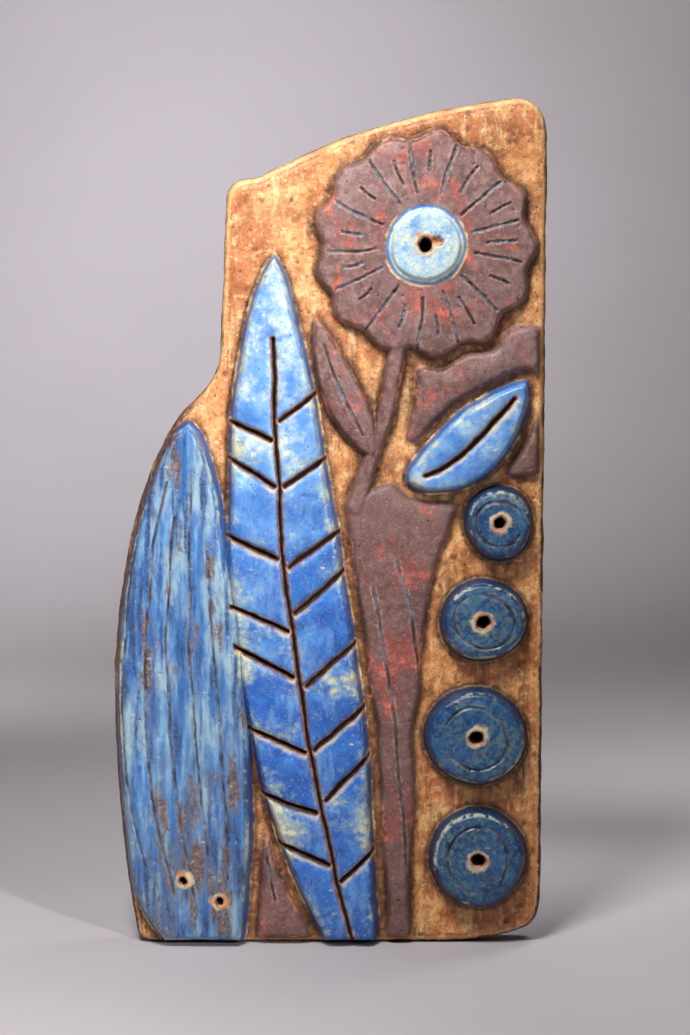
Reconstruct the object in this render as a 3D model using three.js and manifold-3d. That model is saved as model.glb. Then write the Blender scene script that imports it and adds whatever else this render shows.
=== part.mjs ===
// A hand-built stoneware wall plaque with a garden relief: a thick irregular slab with a straight right side, a
// sloping curved top, a stepped left shoulder and a swelling lower left side. Raised on it are a tall blade leaf with
// herringbone cuts, a swelling bulb, a column of pierced berries, a round flower with a pierced eye on a short stem,
// two small leaves, and a low field that fills the gaps and leaves narrow channels. The slab and its relief are one piece of clay.
//
// Drawing plane: x to the right, y up, z the depth from the flat back. The finished mesh is turned so that y becomes
// +Z, and the front faces -Y. The origin is on the back face, at the middle of the outline's box. Millimetres.
import * as THREE from "three";
import { mergeVertices } from "three/addons/utils/BufferGeometryUtils.js";
import Module from "manifold-3d";

// ---- slab
const TOP = 324, BOTTOM = -324; // highest point of the curved top, flat foot
const LEFT = -165, RIGHT = 165; // widest points
const FOOT_L = -137, FOOT_R = 86; // ends of the flat foot
const GROUND = 26; // depth of the clay ground from the back
const RIM_R = 6; // rounding of the front edge
// ---- relief tops, from the back
const FIELD_TOP = 35, STEM_TOP = 34, SPRIG_TOP = 35, FLOWER_TOP = 40, EYE_TOP = 45, BULB_TOP = 43, BLADE_TOP = 42, BERRY_TOP = 43, LEAF_TOP = 41;
const CHANNEL = 8; // width of the ochre channel round each raised form
const EDGE_R = 4; // rounding of the raised forms
// ---- cuts and pierced holes
const CUT_W = 5, CUT_FLOOR = 34;
const HOLE_R = 5.5, SMALL_HOLE_R = 3.2, HOLE_FLOOR = 16;
// ---- raised forms
const BLADE = { base: [26, -352], tip: [-42, 206], width: 90, bend: 20, e: 0.9, p: 0.62 };
const BULB = { base: [-88, -352], tip: [-106, 82], width: 116, bend: 24, e: 0.86, p: 0.6 };
const LEAF = { base: [60, 34], tip: [151, 112], width: 48, bend: -10, e: 0.85, p: 0.66 };
const SPRIG = { base: [36, 52], tip: [-8, 158], width: 32, bend: 5, e: 0.85, p: 0.66 };
const BLADE_CUTS = 8; // pairs of herringbone cuts
const BERRIES = [ // centre and radius, from the top down
  { c: [130, 4], r: 27 },
  { c: [118, -72], r: 32 },
  { c: [113, -161], r: 38 },
  { c: [115, -256], r: 38 },
];
const FLOWER = { c: [73, 214], r: 83, eye: 29, petals: 13, lobe: 3 };
const STEM = { path: [[20, 16], [36, 56], [46, 96], [56, 150]], half: 7 };
const SMALL_HOLES = [[-112, -272], [-84, -288]]; // two pricks low on the bulb

// ---- outline of the slab
function outline() {
  const s = new THREE.Shape();
  s.moveTo(FOOT_L, BOTTOM);
  s.lineTo(FOOT_R, BOTTOM);
  s.quadraticCurveTo(FOOT_R + 43, BOTTOM + 1, 152, BOTTOM + 11); // the foot lifts towards the right corner
  s.quadraticCurveTo(162, BOTTOM + 15, RIGHT - 1, BOTTOM + 32);
  s.quadraticCurveTo(RIGHT - 1, 0, RIGHT, TOP - 28); // right side
  s.quadraticCurveTo(RIGHT, TOP, 141, TOP);
  s.bezierCurveTo(70, TOP - 8, 5, 296, -49, 267); // curved top
  s.quadraticCurveTo(-54, 264, -60, 264);
  s.quadraticCurveTo(-76, 263, -77, 248); // upper left corner
  s.quadraticCurveTo(-79, 190, -83, 126);
  s.quadraticCurveTo(-86, 110, -105, 93); // shoulder
  s.bezierCurveTo(-146, 58, LEFT, -60, LEFT, -130); // swelling left side
  s.bezierCurveTo(LEFT, -190, -158, -262, -149, BOTTOM + 10);
  s.quadraticCurveTo(-147, BOTTOM, FOOT_L, BOTTOM);
  return s;
}

// ---- drawing helpers
const v2 = ([x, y]) => new THREE.Vector2(x, y);
// The curved middle line of a leaf: a quadratic curve that leaves the straight line by `bend`.
function spine({ base, tip, bend }) {
  const b = v2(base), t = v2(tip), d = t.clone().sub(b);
  const side = new THREE.Vector2(-d.y, d.x).normalize().multiplyScalar(2 * bend);
  return new THREE.QuadraticBezierCurve(b, b.clone().add(t).multiplyScalar(0.5).add(side), t);
}
const halfWidth = (f, t) => (f.width / 2) * Math.pow(Math.sin(Math.PI * Math.pow(t, f.e)), f.p);
function leftOf(curve, t, by) {
  const d = curve.getTangent(t);
  return curve.getPoint(t).add(new THREE.Vector2(-d.y, d.x).multiplyScalar(by));
}
// A leaf's outline, `more` wider all round.
function leafShape(f, more = 0, n = 20) {
  const c = spine(f), a = [], b = [];
  for (let i = 1; i < n; i++) {
    const t = i / n, w = halfWidth(f, t) + more;
    a.push(leftOf(c, t, w));
    b.unshift(leftOf(c, t, -w));
  }
  const away = c.getTangent(1).multiplyScalar(more);
  return new THREE.Shape([...a, c.getPoint(1).add(away), ...b, c.getPoint(0)]);
}
// A strip of even width along part of a curve.
function stripShape(curve, half, from, to, n) {
  const a = [], b = [];
  for (let i = 0; i <= n; i++) {
    const t = from + ((to - from) * i) / n;
    a.push(leftOf(curve, t, half));
    b.unshift(leftOf(curve, t, -half));
  }
  return new THREE.Shape([...a, ...b]);
}

// The flower's lobed outline, `more` wider all round.
function flowerShape(more = 0, n = 8) {
  const { c, r, petals, lobe } = FLOWER, pts = [];
  for (let i = 0; i < petals * n; i++) {
    const a = (i / (petals * n)) * 2 * Math.PI, q = r + more + lobe * Math.cos(petals * a);
    pts.push(new THREE.Vector2(c[0] + q * Math.cos(a), c[1] + q * Math.sin(a)));
  }
  return new THREE.Shape(pts);
}

// ---- solids
const wasm = await Module();
wasm.setup();
function solid(geometry) {
  const g = geometry.index ? geometry.toNonIndexed() : geometry.clone();
  for (const name of Object.keys(g.attributes)) if (name !== "position") g.deleteAttribute(name);
  const m = mergeVertices(g, 1e-3);
  const make = (triVerts) =>
    new wasm.Manifold(new wasm.Mesh({ numProp: 3, vertProperties: m.attributes.position.array, triVerts }));
  const tri = new Uint32Array(m.index.array), made = make(tri);
  if (made.volume() > 0) return made;
  for (let i = 0; i < tri.length; i += 3) [tri[i + 1], tri[i + 2]] = [tri[i + 2], tri[i + 1]];
  return make(tri);
}
// A straight column of a shape from depth z0 to z1; `inset` shrinks the outline.
function column(shape, z0, z1, inset = 0) {
  const g = new THREE.ExtrudeGeometry(shape, inset
    ? { depth: z1 - z0 - 2, bevelEnabled: true, bevelSize: 0, bevelThickness: 1, bevelSegments: 1, bevelOffset: -inset, curveSegments: 8 }
    : { depth: z1 - z0, bevelEnabled: false, curveSegments: 8 });
  return solid(g.translate(0, 0, inset ? z0 + 1 : z0));
}
// A pad from inside the slab up to `top`, with its front edge rounded.
function pad(shape, top, r = EDGE_R) {
  const z0 = 8;
  const g = new THREE.ExtrudeGeometry(shape, {
    depth: top - z0 - 2 * r, bevelEnabled: true, bevelSize: r, bevelThickness: r, bevelOffset: -r, bevelSegments: 3, curveSegments: 8,
  });
  return solid(g.translate(0, 0, z0 + r));
}
// A round boss with a rounded edge and a domed front.
function boss([x, y], r, top, edge, dome, segments = 40) {
  const p = [new THREE.Vector2(0, 10), new THREE.Vector2(r, 10)];
  for (let i = 0; i <= 3; i++) {
    const a = (i / 3) * (Math.PI / 2);
    p.push(new THREE.Vector2(r - edge * (1 - Math.cos(a)), top - dome - edge * (1 - Math.sin(a))));
  }
  p.push(new THREE.Vector2((r - edge) * 0.55, top - dome * 0.3), new THREE.Vector2(0, top));
  return solid(new THREE.LatheGeometry(p, segments).rotateX(Math.PI / 2).translate(x, y, 0));
}
function bore([x, y], r, z0, z1, segments = 18) {
  return solid(new THREE.CylinderGeometry(r, r, z1 - z0, segments).rotateX(Math.PI / 2).translate(x, y, (z0 + z1) / 2));
}
const join = (list) => list.reduce((a, b) => a.add(b));

// ---- the slab: rounded front edge, flat square-cut back
function slab() {
  const g = new THREE.ExtrudeGeometry(outline(), {
    depth: GROUND, bevelEnabled: true, bevelSize: RIM_R, bevelThickness: RIM_R, bevelOffset: -RIM_R, bevelSegments: 3, curveSegments: 8,
  });
  const raw = solid(g.translate(0, 0, -RIM_R));
  return raw.intersect(solid(new THREE.BoxGeometry(600, 900, 200).translate(0, 0, 100)));
}

// ---- the low field that fills the gaps between the raised forms
function fieldShape() {
  const s = new THREE.Shape();
  s.moveTo(-70, -400);
  s.lineTo(60, -400);
  s.bezierCurveTo(68, -190, 66, -90, 84, -26); // beside the berries
  s.bezierCurveTo(92, 12, 124, 40, 200, 46);
  s.lineTo(200, 142);
  s.lineTo(146, 109);
  s.lineTo(62, 37);
  s.bezierCurveTo(50, 35, 36, 30, 20, 25); // the field's crest, from the leaf to the blade
  s.bezierCurveTo(8, 22, -4, 17, -20, 3);
  s.lineTo(-40, -60);
  s.closePath();
  return s;
}

// the panel between the flower and the leaf
function panelShape() {
  const s = new THREE.Shape();
  s.moveTo(200, 150);
  s.lineTo(72, 158);
  s.bezierCurveTo(68, 120, 64, 100, 58, 70);
  s.lineTo(64, 40);
  s.lineTo(143, 105);
  s.lineTo(200, 115);
  s.closePath();
  return s;
}

function plaque() {
  const inside = (inset) => column(outline(), 1, 70, inset);
  const field = join([column(fieldShape(), 10, FIELD_TOP), column(panelShape(), 10, FIELD_TOP)])
    .subtract(column(leafShape(BLADE, CHANNEL), 0, 70))
    .subtract(column(leafShape(BULB, CHANNEL), 0, 70))
    .subtract(column(leafShape(LEAF, CHANNEL, 14), 0, 70))
    .subtract(column(flowerShape(CHANNEL), 0, 70))
    .subtract(join(BERRIES.map(({ c, r }) => bore(c, r + CHANNEL, 0, 70, 40))))
    .intersect(inside(3));
  const stem = column(stripShape(new THREE.CubicBezierCurve(...STEM.path.map(v2)), STEM.half, 0, 1, 10), 10, STEM_TOP);
  const eye = boss(FLOWER.c, FLOWER.eye, EYE_TOP, EDGE_R, 1);
  const flower = boss(FLOWER.c, FLOWER.r + FLOWER.lobe, FLOWER_TOP, 10, 3, 52).intersect(column(flowerShape(), 5, 70)).intersect(inside(3));
  const berries = join(BERRIES.map(({ c, r }) => boss(c, r, BERRY_TOP, EDGE_R + 2, 2, 36)));

  // herringbone: a middle groove, and slanting grooves from it out to both edges
  const c = spine(BLADE), cuts = [column(stripShape(c, CUT_W / 2, 0.05, 0.9, 16), CUT_FLOOR, 70)];
  for (let i = 0; i < BLADE_CUTS; i++) {
    const t = 0.15 + (0.62 * i) / (BLADE_CUTS - 1), d = c.getTangent(t), o = c.getPoint(t);
    for (const side of [1, -1]) {
      const out = new THREE.Vector2(-d.y, d.x).multiplyScalar(0.85 * side).add(d.clone().multiplyScalar(0.55)).normalize();
      const g = new THREE.BoxGeometry(70, CUT_W * 0.9, 70 - CUT_FLOOR).translate(35, 0, 0);
      cuts.push(solid(g.rotateZ(Math.atan2(out.y, out.x)).translate(o.x, o.y, (70 + CUT_FLOOR) / 2)));
    }
  }
  const herringbone = join(cuts).intersect(column(leafShape(BLADE, 3), 0, 80));
  const leafCut = column(stripShape(spine(LEAF), CUT_W / 2, 0.12, 0.86, 10), CUT_FLOOR, 70);

  const relief = join([
    field, stem, flower, eye,
    pad(leafShape(LEAF, 0, 14), LEAF_TOP).intersect(inside(2)),
    pad(leafShape(SPRIG, 0, 12), SPRIG_TOP),
    berries.intersect(inside(2)),
    pad(leafShape(BULB), BULB_TOP, 6).intersect(inside(4)),
    pad(leafShape(BLADE, 0, 24), BLADE_TOP).intersect(inside(1)).subtract(herringbone),
  ]).subtract(leafCut);
  const holes = join([
    bore(FLOWER.c, HOLE_R, HOLE_FLOOR, 70),
    ...BERRIES.map((b) => bore(b.c, HOLE_R, HOLE_FLOOR, 70)),
    ...SMALL_HOLES.map((h) => bore(h, SMALL_HOLE_R, HOLE_FLOOR + 6, 70, 12)),
  ]);
  return slab().add(relief).subtract(holes);
}

function geometryOf(made) {
  const m = made.getMesh(), n = m.numProp, v = new Float32Array(m.numVert * 3);
  for (let i = 0; i < m.numVert; i++) v.set(m.vertProperties.subarray(i * n, i * n + 3), i * 3);
  const g = new THREE.BufferGeometry();
  g.setAttribute("position", new THREE.BufferAttribute(v, 3));
  g.setIndex(new THREE.BufferAttribute(new Uint32Array(m.triVerts), 1));
  g.computeVertexNormals();
  return g;
}

const stoneware = new THREE.MeshStandardMaterial({ color: 0x3d6fb4, roughness: 0.5, metalness: 0 });
const mesh = new THREE.Mesh(geometryOf(plaque()), stoneware);
mesh.name = "plaque";
mesh.rotation.x = Math.PI / 2; // the drawing's y stands up, and its depth runs towards -Y

const group = new THREE.Group();
group.add(mesh);
export default group;
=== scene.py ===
# A hand-built stoneware wall plaque with a glazed garden relief, standing on a pale studio sweep.
# The front is worked out as one surface of heights above the flat back, from the same sizes as the solid: slab outline,
# raised leaf, bulb, berries, flower and field, then the cuts, incised lines, pierced holes, pits and the chip.
import math

import bpy
import numpy as np
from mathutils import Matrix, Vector, geometry


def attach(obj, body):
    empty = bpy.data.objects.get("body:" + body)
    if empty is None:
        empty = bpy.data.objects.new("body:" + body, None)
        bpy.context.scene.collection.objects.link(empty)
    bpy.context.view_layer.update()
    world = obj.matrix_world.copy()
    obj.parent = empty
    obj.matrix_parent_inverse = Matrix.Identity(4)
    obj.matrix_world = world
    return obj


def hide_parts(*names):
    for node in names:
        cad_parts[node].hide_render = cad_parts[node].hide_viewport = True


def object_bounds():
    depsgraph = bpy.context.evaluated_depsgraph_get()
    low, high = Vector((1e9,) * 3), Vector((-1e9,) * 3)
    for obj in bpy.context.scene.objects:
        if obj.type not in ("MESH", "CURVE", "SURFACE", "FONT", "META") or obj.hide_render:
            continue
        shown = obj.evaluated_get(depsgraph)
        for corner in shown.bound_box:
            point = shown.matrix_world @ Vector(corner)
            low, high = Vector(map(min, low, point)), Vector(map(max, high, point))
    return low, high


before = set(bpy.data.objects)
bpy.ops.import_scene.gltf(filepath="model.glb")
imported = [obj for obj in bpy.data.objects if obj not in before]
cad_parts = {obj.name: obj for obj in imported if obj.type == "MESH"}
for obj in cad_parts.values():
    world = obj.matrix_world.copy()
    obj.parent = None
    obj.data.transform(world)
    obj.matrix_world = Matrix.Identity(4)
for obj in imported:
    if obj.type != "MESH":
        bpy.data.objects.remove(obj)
cad_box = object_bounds()

PI = math.pi

# ------------------------------------------------------------------ sizes of the plaque, in millimetres
TOP, BOTTOM = 324.0, -324.0
LEFT, RIGHT = -165.0, 165.0
FOOT_L, FOOT_R = -137.0, 86.0
GROUND, RIM_R = 26.0, 6.0
FIELD_TOP, STEM_TOP, SPRIG_TOP, FLOWER_TOP, EYE_TOP = 35.0, 34.0, 35.0, 40.0, 45.0
BULB_TOP, BLADE_TOP, BERRY_TOP, LEAF_TOP = 43.0, 42.0, 43.0, 41.0
CHANNEL = 8.0
CUT_FLOOR = 34.0
HOLE_R, SMALL_HOLE_R, HOLE_FLOOR = 5.5, 3.2, 16.0
BLADE = dict(base=(26, -352), tip=(-42, 206), width=90, bend=20, e=0.9, p=0.62)
BULB = dict(base=(-88, -352), tip=(-106, 82), width=116, bend=24, e=0.86, p=0.6)
LEAF = dict(base=(60, 34), tip=(151, 112), width=48, bend=-10, e=0.85, p=0.66)
SPRIG = dict(base=(36, 52), tip=(-8, 158), width=32, bend=5, e=0.85, p=0.66)
BLADE_CUTS = 8
BERRIES = [((130, 4), 27), ((118, -72), 32), ((113, -161), 38), ((115, -256), 38)]
FLOWER, FLOWER_R, EYE_R, PETALS, LOBE = (73, 214), 83, 29, 13, 3.0
STEM = [(20, 16), (36, 56), (46, 96), (56, 150)]
STEM_HALF = 7
SMALL_HOLES = [(-112, -272), (-84, -288)]

STEP = 0.75  # spacing of the worked-out heights
FACES = 188000  # faces kept on the finished mesh


# ------------------------------------------------------------------ drawing
def bez(*pts, n=24):
    t = np.linspace(0, 1, n + 1)[:, None]
    p = [np.array(q, float) for q in pts]
    while len(p) > 1:
        p = [a * (1 - t) + b * t for a, b in zip(p, p[1:])]
    return p[0]


def outline():
    runs = [
        bez((FOOT_L, BOTTOM), (FOOT_R, BOTTOM), n=12),
        bez((FOOT_R, BOTTOM), (FOOT_R + 43, BOTTOM + 1), (152, BOTTOM + 11), n=10),
        bez((152, BOTTOM + 11), (162, BOTTOM + 15), (RIGHT - 1, BOTTOM + 32), n=8),
        bez((RIGHT - 1, BOTTOM + 32), (RIGHT - 1, 0), (RIGHT, TOP - 28), n=16),
        bez((RIGHT, TOP - 28), (RIGHT, TOP), (141, TOP), n=12),
        bez((141, TOP), (70, TOP - 8), (5, 296), (-49, 267), n=28),
        bez((-49, 267), (-54, 264), (-60, 264), n=4),
        bez((-60, 264), (-76, 263), (-77, 248), n=10),
        bez((-77, 248), (-79, 190), (-83, 126), n=10),
        bez((-83, 126), (-86, 110), (-105, 93), n=10),
        bez((-105, 93), (-146, 58), (LEFT, -60), (LEFT, -130), n=26),
        bez((LEFT, -130), (LEFT, -190), (-158, -262), (-149, BOTTOM + 10), n=18),
        bez((-149, BOTTOM + 10), (-147, BOTTOM), (FOOT_L, BOTTOM), n=8),
    ]
    return np.vstack([r[:-1] for r in runs])


def spine(f, n=40):
    b, t = np.array(f["base"], float), np.array(f["tip"], float)
    d = t - b
    side = np.array([-d[1], d[0]]) / np.hypot(*d) * 2 * f["bend"]
    return bez(b, (b + t) / 2 + side, t, n=n)


def normals(path):
    d = np.gradient(path, axis=0)
    d /= np.linalg.norm(d, axis=1)[:, None]
    return np.stack([-d[:, 1], d[:, 0]], 1), d


def half_width(f, t):
    return f["width"] / 2 * np.sin(PI * np.clip(t, 0, 1) ** f["e"]) ** f["p"]


def leaf_poly(f, n=48):
    s = spine(f, n)
    nr, _ = normals(s)
    w = half_width(f, np.linspace(0, 1, n + 1))[:, None]
    w[0] = w[-1] = 0
    return np.vstack([(s + nr * w), (s - nr * w)[-2:0:-1]])


def leaf_line(f, share, t0, t1, n=40):
    """A line along a leaf, at a share of its half width to one side of the spine."""
    s = spine(f, 80)
    nr, _ = normals(s)
    t = np.linspace(0, 1, 81)
    p = s + nr * (share * half_width(f, t))[:, None]
    return p[(t >= t0) & (t <= t1)]


# ------------------------------------------------------------------ heights on a grid of points
X0, Z0 = -174.0, -332.0
NX, NZ = int(348 / STEP) + 1, int(664 / STEP) + 1
xs, zs = X0 + STEP * np.arange(NX), Z0 + STEP * np.arange(NZ)
GX, GZ = np.meshgrid(xs, zs)


def noise(x, y, seed):
    """Smooth gradient noise, about -1 to 1."""
    a = np.random.RandomState(seed).rand(256, 256) * 2 * PI
    gx, gy = np.cos(a), np.sin(a)
    xi, yi = np.floor(x).astype(int), np.floor(y).astype(int)
    fx, fy = x - xi, y - yi
    u, v = fx ** 3 * (fx * (fx * 6 - 15) + 10), fy ** 3 * (fy * (fy * 6 - 15) + 10)
    out = 0
    for j in (0, 1):
        for i in (0, 1):
            k = (yi + j) & 255, (xi + i) & 255
            out = out + (u if i else 1 - u) * (v if j else 1 - v) * (gx[k] * (fx - i) + gy[k] * (fy - j))
    return out * 1.5


def fbm(x, y, seed, octaves=3, gain=0.5):
    out, amp = 0, 1.0
    for o in range(octaves):
        out = out + amp * noise(x * 2 ** o + 17.3 * o, y * 2 ** o - 9.1 * o, seed + o)
        amp *= gain
    return out


# The hand of the maker: every drawn edge wanders by a millimetre or so.
WX = GX + 2.0 * noise(GX / 58, GZ / 58, 1) + 0.5 * noise(GX / 15, GZ / 15, 2) + 0.16 * noise(GX / 5, GZ / 5, 3)
WZ = GZ + 2.0 * noise(GX / 58, GZ / 58, 4) + 0.5 * noise(GX / 15, GZ / 15, 5) + 0.16 * noise(GX / 5, GZ / 5, 6)
FAR = 22.0


def window(pts, margin):
    c0 = max(int((pts[:, 0].min() - margin - X0) / STEP), 0)
    c1 = min(int((pts[:, 0].max() + margin - X0) / STEP) + 2, NX)
    r0 = max(int((pts[:, 1].min() - margin - Z0) / STEP), 0)
    r1 = min(int((pts[:, 1].max() + margin - Z0) / STEP) + 2, NZ)
    return slice(r0, r1), slice(c0, c1)


def inside(poly, x=None, z=None, far=FAR):
    """Signed distance to a closed outline, positive inside, cut off at `far` outside it."""
    x, z = (WX, WZ) if x is None else (x, z)
    out = np.full(GX.shape, -far)
    w = window(poly, far + 3)
    px, pz = x[w], z[w]
    d2 = np.full(px.shape, 1e9)
    odd = np.zeros(px.shape, bool)
    for a, b in zip(poly, np.roll(poly, -1, 0)):
        e = b - a
        wx, wz = px - a[0], pz - a[1]
        t = np.clip((wx * e[0] + wz * e[1]) / max(e @ e, 1e-9), 0, 1)
        d2 = np.minimum(d2, (wx - t * e[0]) ** 2 + (wz - t * e[1]) ** 2)
        if a[1] != b[1]:
            hit = (a[1] <= pz) != (b[1] <= pz)
            odd ^= hit & (wx < wz * (e[0] / e[1]))
    out[w] = np.maximum(np.where(odd, 1, -1) * np.sqrt(d2), -far)
    return out


def near(path, far=FAR):
    """The window round an open line, and in it the distance, how far along (0 to 1) and the side (+ left of its direction)."""
    w = window(path, far + 3)
    px, pz = WX[w], WZ[w]
    best, tt, ss = np.full(px.shape, far), np.zeros(px.shape), np.ones(px.shape)
    n = len(path) - 1
    for i, (a, b) in enumerate(zip(path[:-1], path[1:])):
        e = b - a
        wx, wz = px - a[0], pz - a[1]
        t = np.clip((wx * e[0] + wz * e[1]) / max(e @ e, 1e-9), 0, 1)
        d = np.hypot(wx - t * e[0], wz - t * e[1])
        m = d < best
        best[m], tt[m] = d[m], ((i + t) / n)[m]
        ss[m] = np.sign(e[0] * wz - e[1] * wx)[m]
    return w, best, tt, ss


def smin(a, b, k):
    h = np.maximum(k - np.abs(a - b), 0) / k
    return np.minimum(a, b) - h * h * k * 0.25


def smax(a, b, k):
    return -smin(-a, -b, k)


def step(a, b, x):
    t = np.clip((x - a) / (b - a), 0, 1)
    return t * t * (3 - 2 * t)


def blur(a, sigma):
    """Gaussian blur, sigma in millimetres."""
    s = sigma / STEP
    r = int(3 * s) + 1
    k = np.exp(-0.5 * (np.arange(-r, r + 1) / s) ** 2)
    k /= k.sum()
    for axis in (0, 1):
        p = np.pad(a, [(r, r) if i == axis else (0, 0) for i in (0, 1)], mode="edge")
        n = a.shape[axis]
        a = sum(k[i] * (p[i:i + n] if axis == 0 else p[:, i:i + n]) for i in range(2 * r + 1))
    return a


# ---- the slab
OX = GX + 0.55 * noise(GX / 40, GZ / 40, 11) + 0.25 * noise(GX / 11, GZ / 11, 12)
OZ = GZ + 0.55 * noise(GX / 40, GZ / 40, 13) + 0.25 * noise(GX / 11, GZ / 11, 14)
edge = inside(outline(), OX, OZ)
ground = GROUND + 0.9 * fbm(GX / 75, GZ / 75, 21) + 0.5 * noise(GX / 7.5, GZ / 42, 24) + 0.45 * fbm(GX / 9, GZ / 9, 26)
rim = (GROUND - RIM_R) + RIM_R * np.sqrt(np.clip(1 - (1 - np.clip(edge / RIM_R, 0, 1)) ** 2, 0, 1)) + np.maximum(edge - RIM_R, 0) * 3
H = smin(ground, rim, 2.0)


def raise_form(h, d, top, slope=4.0, edge_k=9.0, foot_k=2.5):
    return smax(h, smin(top, 24.0 + (d + 1.5) * slope, edge_k), foot_k)


def hand(scale, seed):
    return fbm(GX / scale, GZ / scale, seed, 3)


# ---- raised forms: distances first
d_blade = np.minimum(inside(leaf_poly(BLADE)), edge - 3)
d_bulb = np.minimum(inside(leaf_poly(BULB)), edge - 2.5)
d_leaf = np.minimum(inside(leaf_poly(LEAF)), edge - 5)
d_sprig = inside(leaf_poly(SPRIG))
r_flower = np.hypot(WX - FLOWER[0], WZ - FLOWER[1])
a_flower = np.arctan2(WZ - FLOWER[1], WX - FLOWER[0])
round_flower = FLOWER_R + LOBE * np.cos(PETALS * a_flower) + 0.8 * np.cos(3 * a_flower + 1) - r_flower
d_flower = np.minimum(round_flower, edge - 4)
d_eye = EYE_R + 0.5 * np.cos(2 * a_flower) - r_flower
d_berry = np.full(GX.shape, -FAR)
r_berries = []
for i, ((bx, bz), r) in enumerate(BERRIES):
    a = np.arctan2(WZ - bz, WX - bx)
    rr = np.hypot(WX - bx, WZ - bz) * (1 + 0.022 * np.cos(2 * a + 1.9 * i) + 0.014 * np.cos(3 * a + 2.7 * i + 1))
    r_berries.append(rr)
    d_berry = np.maximum(d_berry, np.minimum(r - rr, edge - 4))
stem_path = bez(*STEM, n=20)
d_stem = np.full(GX.shape, -FAR)
w, d, _, _ = near(stem_path)
d_stem[w] = STEM_HALF - d
field_poly = np.vstack([
    [(-70, -400)], bez((60, -400), (68, -190), (66, -90), (84, -26), n=14), bez((84, -26), (92, 12), (124, 40), (200, 46), n=12)[1:],
    [(200, 142), (146, 109)], bez((62, 37), (50, 35), (36, 30), (20, 25), n=8),
    bez((20, 25), (8, 22), (-4, 17), (-20, 3), n=8)[1:], [(-40, -60)]])
panel_poly = np.vstack([
    [(200, 150)], bez((72, 158), (68, 120), (64, 100), (58, 70), n=8), [(64, 40), (143, 105), (200, 115)]])
d_field = np.maximum(inside(field_poly), inside(panel_poly))
for d in (d_blade, d_bulb, d_berry, d_leaf, np.maximum(round_flower, -FAR)):
    d_field = smin(d_field, -(d + CHANNEL), 9.0)
d_field = smin(d_field, edge - 4, 5.0)

# ---- raised forms: heights
H = raise_form(H, d_field, FIELD_TOP + 1.3 * hand(60, 31) + 0.4 * hand(12, 34) - 4.6 * np.exp(-np.maximum(d_field, 0) / 12), 2.6, 7, 3)
H = raise_form(H, d_stem, STEM_TOP + 0.4 * hand(20, 37) - 2 * np.exp(-np.maximum(d_stem, 0) / 3), 2.6, 6, 2.5)
H = raise_form(H, d_flower, FLOWER_TOP - 6.0 * (r_flower / FLOWER_R) ** 3 + 0.7 * hand(45, 41) + 0.25 * hand(11, 44), 2.8, 8, 3)
H = raise_form(H, d_sprig, SPRIG_TOP + 1 + 0.4 * hand(22, 47) - 2 * np.exp(-np.maximum(d_sprig, 0) / 4), 2.8, 6, 2.5)
H = raise_form(H, d_leaf, LEAF_TOP + 0.5 * hand(30, 51) - 2.0 * np.exp(-np.maximum(d_leaf, 0) / 6))
H = raise_form(H, d_berry, BERRY_TOP - 0.4 + 0.5 * hand(30, 54) - 3.0 * np.exp(-np.maximum(d_berry, 0) / 8), 4.0, 9)
H = raise_form(H, d_bulb, BULB_TOP + 0.8 * hand(55, 57) + 0.25 * hand(10, 58) - 4.0 * np.exp(-np.maximum(d_bulb, 0) / 11), 3.6, 10)
H = raise_form(H, d_blade, BLADE_TOP + 0.6 * hand(40, 61) + 0.2 * hand(9, 62) - 2.2 * np.exp(-np.maximum(d_blade, 0) / 7))
H = raise_form(H, d_eye, EYE_TOP - 0.6 + 0.4 * hand(22, 64) - 1.6 * np.exp(-np.maximum(d_eye, 0) / 6), 4.0, 7)

# ---- cuts: steep-sided grooves made with a knife; + above the cut, - below it
cut, cut_side = np.full(GX.shape, FAR), np.zeros(GX.shape)


N6, N14, N5 = noise(GX / 6, GZ / 6, 71), noise(GX / 14, GZ / 14, 72), noise(GX / 5, GZ / 5, 73)


def groove(path, half, floor, slope, mask, level=True):
    w, d, t, s = near(path, 10.0)
    off = (mask[w] <= -2.5) | (d >= 10)
    d = np.maximum(d + 0.35 * N6[w], 0)
    ends = 2.2 * step(0.1, 0.0, t) + 2.2 * step(0.9, 1.0, t)
    deep = floor + ends + 0.5 * N14[w] + np.maximum(d - half, 0) * slope
    up = np.sign(path[-1][0] - path[0][0]) or 1.0
    nearer = ~off & (d < cut[w])
    cut[w] = np.where(nearer, d, cut[w])
    cut_side[w] = np.where(nearer, s * up * (1 if level else 0), cut_side[w])
    H[w] = np.where(off, H[w], smin(H[w], deep, 1.6))


c = spine(BLADE, 80)
nr, tg = normals(c)
groove(c[(np.linspace(0, 1, 81) > 0.06) & (np.linspace(0, 1, 81) < 0.9)], 0.5, CUT_FLOOR + 2, 3.0, d_blade, False)
for i in range(BLADE_CUTS):
    for sgn in (1, -1):
        k = int(round((0.15 + 0.62 * (i + 0.16 * math.sin(2.3 * i + 1.1 * sgn)) / (BLADE_CUTS - 1)) * 80))
        out = nr[k] * 0.85 * sgn + tg[k] * (0.55 + 0.07 * math.sin(4.1 * i + 2 * sgn))
        out /= np.linalg.norm(out)
        p0, p1 = c[k] + out * (4.2 + 1.6 * math.sin(1.7 * i * sgn) ** 2), c[k] + out * 62
        mid = (p0 + p1) / 2 + np.array([0, 2.0 * math.sin(3.1 * i + sgn)])
        groove(bez(p0, mid, p1, n=8), 0.9 + 0.3 * math.sin(5.3 * i + sgn), CUT_FLOOR + 0.8 * math.cos(2.9 * i + sgn), 3.4, d_blade)
lc = spine(LEAF, 60)
groove(lc[7:53], 0.8, CUT_FLOOR, 3.2, d_leaf)
# the clay between the cuts is softly rounded
H = np.where(np.maximum(d_blade, d_leaf) > 0, H - 1.5 * np.exp(-((cut / 4.2) ** 2)) - 0.5 * np.exp(-((cut / 9) ** 2)), H)

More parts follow.
